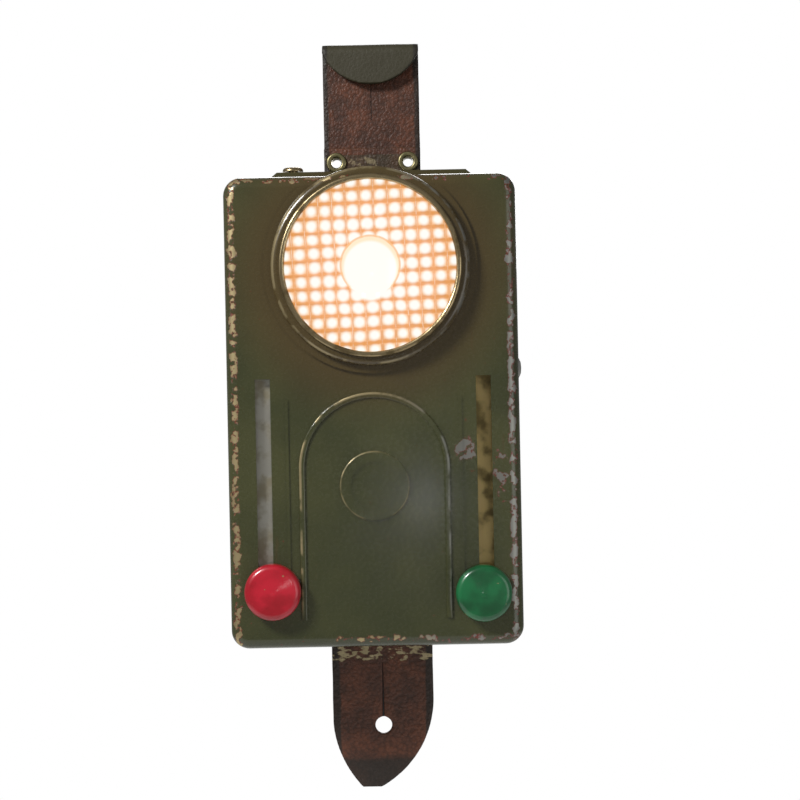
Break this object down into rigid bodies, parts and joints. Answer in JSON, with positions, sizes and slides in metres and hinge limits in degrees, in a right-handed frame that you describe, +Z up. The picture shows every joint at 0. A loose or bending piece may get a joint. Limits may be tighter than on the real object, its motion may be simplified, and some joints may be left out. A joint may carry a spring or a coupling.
{
  "type": "morse signal lamp",
  "caption": "Pocket signal lamp in a pressed steel case with a waffle lens, sliding colour filters, a morse button, a hinged back and leather button tabs",
  "frame": {"origin": "rear rim of the upper buttonhole, on its axis", "axes": "+X to the right of the lamp seen from its lens side, +Y to the rear, +Z up"},
  "size_m": [0.074, 0.0377, 0.1921],
  "materials": {
    "enamel": "glossy olive enamel with worn edges",
    "plated": "dulled nickel plate",
    "steel": "bare spring steel",
    "brass": "aged brass",
    "glass": "moulded clear glass",
    "red_glass": "red filter glass",
    "green_glass": "green filter glass",
    "red_paint": "glossy red knob",
    "green_paint": "glossy green knob",
    "leather": "pebbled red-brown leather",
    "silvered": "silvered reflector",
    "card": "wrapped battery case",
    "insulator": "pressed fibre"
  },
  "bodies": {
    "root": {"front_shell": "enamel", "case_hinge": "enamel", "hinge_pin": "steel", "lens_bezel": "plated", "lens": "glass", "lens_ring": "steel", "reflector": "silvered", "bulb_glass": "glass", "bulb_cap": "brass", "bulb_socket": "brass", "centre_contact": "brass", "inner_frame": "steel", "switch_plate": "enamel", "contact_blade": "brass", "blade_insulator": "insulator", "battery": "card", "battery_strips": "brass", "catch_rivet": "steel", "top_tab": "leather", "tab_facing": "leather", "top_lug": "enamel", "left_eyelet": "brass", "right_eyelet": "brass", "left_lug_rivet": "steel", "right_lug_rivet": "steel"},
    "red_slide": {"red_carrier": "steel", "red_filter": "red_glass", "red_knob": "red_paint"},
    "green_slide": {"green_carrier": "brass", "green_filter": "green_glass", "green_knob": "green_paint"},
    "switch": {"switch_slide": "steel", "button_spring": "steel"},
    "button": {"morse_button": "plated"},
    "cover": {"back_cover": "enamel", "bottom_tab": "leather", "left_tab_rivet": "steel", "right_tab_rivet": "steel"},
    "catch": {"catch_leaf": "steel"}
  },
  "joints": [
    {"name": "red_filter_lift", "type": "slide", "parent": "root", "child": "red_slide", "axis": [0, 0, 1], "range_m": [0, 0.047]},
    {"name": "green_filter_lift", "type": "slide", "parent": "root", "child": "green_slide", "axis": [0, 0, 1], "range_m": [0, 0.047]},
    {"name": "switch_shift", "type": "slide", "parent": "root", "child": "switch", "axis": [1, 0, 0], "range_m": [0, 0.008]},
    {"name": "morse_press", "type": "slide", "parent": "switch", "child": "button", "axis": [0, 0, -1], "range_m": [0, 0.0005], "stiffness_N_per_m": 200, "springref_m": -0.001, "deforming": ["button_spring"]},
    {"name": "cover_hinge", "type": "hinge", "parent": "root", "child": "cover", "pos_m": [-0.0353, 0.0016, -0.0866], "axis": [0, 0, 1], "range_deg": [0, 110]},
    {"name": "catch_flex", "type": "hinge", "parent": "root", "child": "catch", "pos_m": [0.0358, -0.004, -0.0764], "axis": [0, -1, 0], "range_deg": [0, 3], "stiffness_Nm_per_rad": 0.1, "springref_deg": -2.86}
  ]
}
